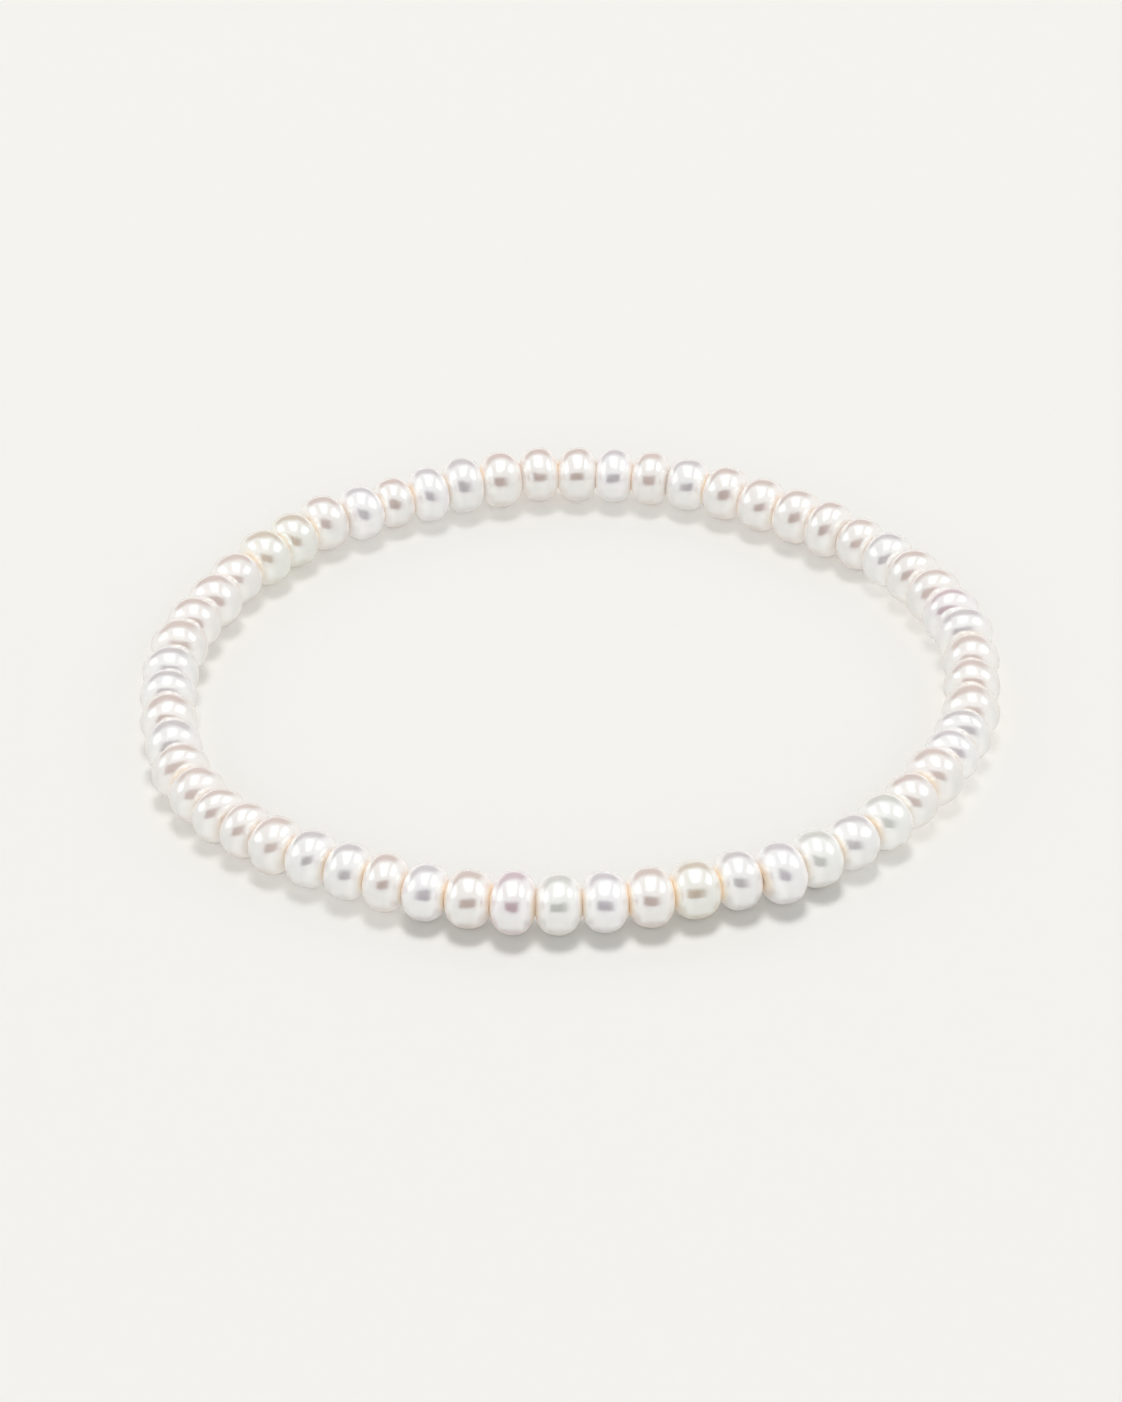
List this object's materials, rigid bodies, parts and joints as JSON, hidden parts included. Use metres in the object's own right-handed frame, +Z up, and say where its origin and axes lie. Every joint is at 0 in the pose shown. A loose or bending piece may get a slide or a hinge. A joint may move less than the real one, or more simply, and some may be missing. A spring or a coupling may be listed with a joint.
{
  "type": "pearl bracelet",
  "caption": "Stretch bracelet of button pearls threaded flank to flank on a hidden elastic cord, lying as a flat oval loop.",
  "frame": {"origin": "under the middle of the loop, on the surface that the pearls stand on", "axes": "+X along the long side of the oval, +Y towards the back of the loop as pictured, +Z up out of the surface"},
  "size_m": [0.0632, 0.057, 0.0045],
  "materials": {
    "nacre": "lustrous white nacre",
    "elastic": "clear satin"
  },
  "bodies": {
    "root": {"pearls_front": "nacre", "pearls_back": "nacre", "elastic_cord": "elastic"}
  },
  "joints": []
}
